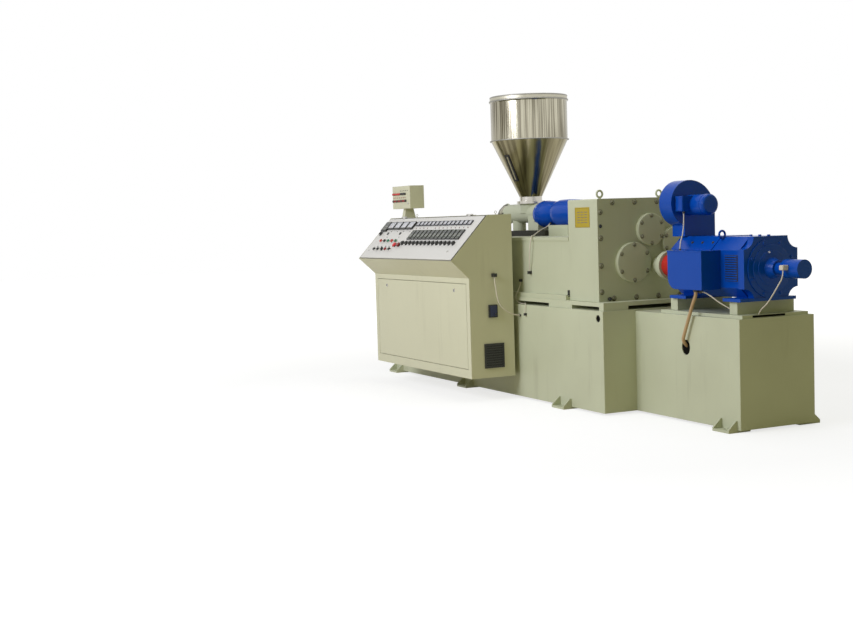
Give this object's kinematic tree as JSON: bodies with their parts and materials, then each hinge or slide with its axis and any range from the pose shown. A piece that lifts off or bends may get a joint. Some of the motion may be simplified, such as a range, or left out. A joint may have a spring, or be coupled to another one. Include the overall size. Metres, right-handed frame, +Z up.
{
  "type": "plastic extruder with operator console",
  "caption": "Twin-screw plastic extruder on a welded bed, with gearbox, drive motor and blower, screw-fed hopper, guarded barrel and a hung operator console with a hinged instrument panel.",
  "frame": {"origin": "on the floor at the middle of the machine's outline", "axes": "+X along the line towards the drive motor, +Y away from the operator, +Z up"},
  "size_m": [4.794, 1.755, 2.344],
  "materials": {
    "bed_paint": "semi-gloss enamel, beige green",
    "console_paint": "fine textured powder coat, cream",
    "machine_blue": "gloss enamel, deep blue",
    "coupling_red": "gloss enamel, red",
    "black_paint": "satin black enamel",
    "stainless": "mirror polished sheet",
    "barrel_steel": "turned steel, oiled",
    "heater_aluminium": "cast, bead blasted",
    "zinc_steel": "zinc plated",
    "black_plastic": "moulded",
    "instrument_plastic": "moulded, with pale faces",
    "button_plastic": "moulded",
    "cable_white": "soft PVC sheath, off-white",
    "cable_brown": "bundle of PVC leads, dusty brown",
    "sight_glass": "clear, dusty"
  },
  "bodies": {
    "machine": {"bed_main_section": "bed_paint", "bed_motor_section": "bed_paint", "bed_feet": "bed_paint", "gearbox_base_plate": "bed_paint", "gearbox_housing": "bed_paint", "gearbox_end_plate": "bed_paint", "gearbox_bearing_covers": "bed_paint", "gearbox_lifting_eyes": "bed_paint", "gearbox_input_boss": "bed_paint", "drive_coupling": "coupling_red", "distribution_gear_case": "bed_paint", "barrel": "barrel_steel", "barrel_heater_shells": "heater_aluminium", "die_adapter": "barrel_steel", "barrel_stand": "bed_paint", "barrel_guard": "bed_paint", "feed_throat": "barrel_steel", "feeder_housing": "bed_paint", "hopper_cone": "stainless", "hopper_drum": "stainless", "hopper_lid": "stainless", "hopper_sight_glass": "sight_glass", "feeder_window_port": "bed_paint", "feeder_reducer": "machine_blue", "feeder_motor": "machine_blue", "feeder_base_plate": "black_paint", "feeder_supports": "bed_paint", "motor_cross_beams": "bed_paint", "motor_frame": "machine_blue", "motor_rear_bell": "machine_blue", "motor_drive_bell": "machine_blue", "shaft_encoder": "machine_blue", "motor_terminal_box": "machine_blue", "motor_louvre_cover": "machine_blue", "motor_lifting_eye": "machine_blue", "motor_air_hood": "machine_blue", "blower_scroll": "machine_blue", "blower_motor": "machine_blue", "console_side_sheets": "console_paint", "console_back_sheet": "console_paint", "console_front": "console_paint", "console_door": "console_paint", "console_chin": "console_paint", "console_hinges": "zinc_steel", "console_brackets": "console_paint", "console_vent_grille": "black_plastic", "console_isolator_switch": "black_plastic", "operator_box": "console_paint", "console_lifting_eyes": "zinc_steel", "cable_glands": "black_plastic", "blower_cable": "cable_white", "motor_power_cables": "cable_brown", "motor_field_cable": "cable_white", "encoder_cable": "cable_white", "feeder_cable": "cable_white", "console_cable": "cable_white", "earth_wire": "cable_white"},
    "instrument_panel": {"instrument_panel": "console_paint", "panel_instruments": "instrument_plastic", "panel_knobs_and_buttons": "button_plastic"}
  },
  "joints": [
    {"name": "instrument_panel_hinge", "type": "hinge", "parent": "machine", "child": "instrument_panel", "pos_m": [-0.9375, -0.5635, 1.3965], "axis": [-1, 0, 0], "range_deg": [0, 60]}
  ]
}
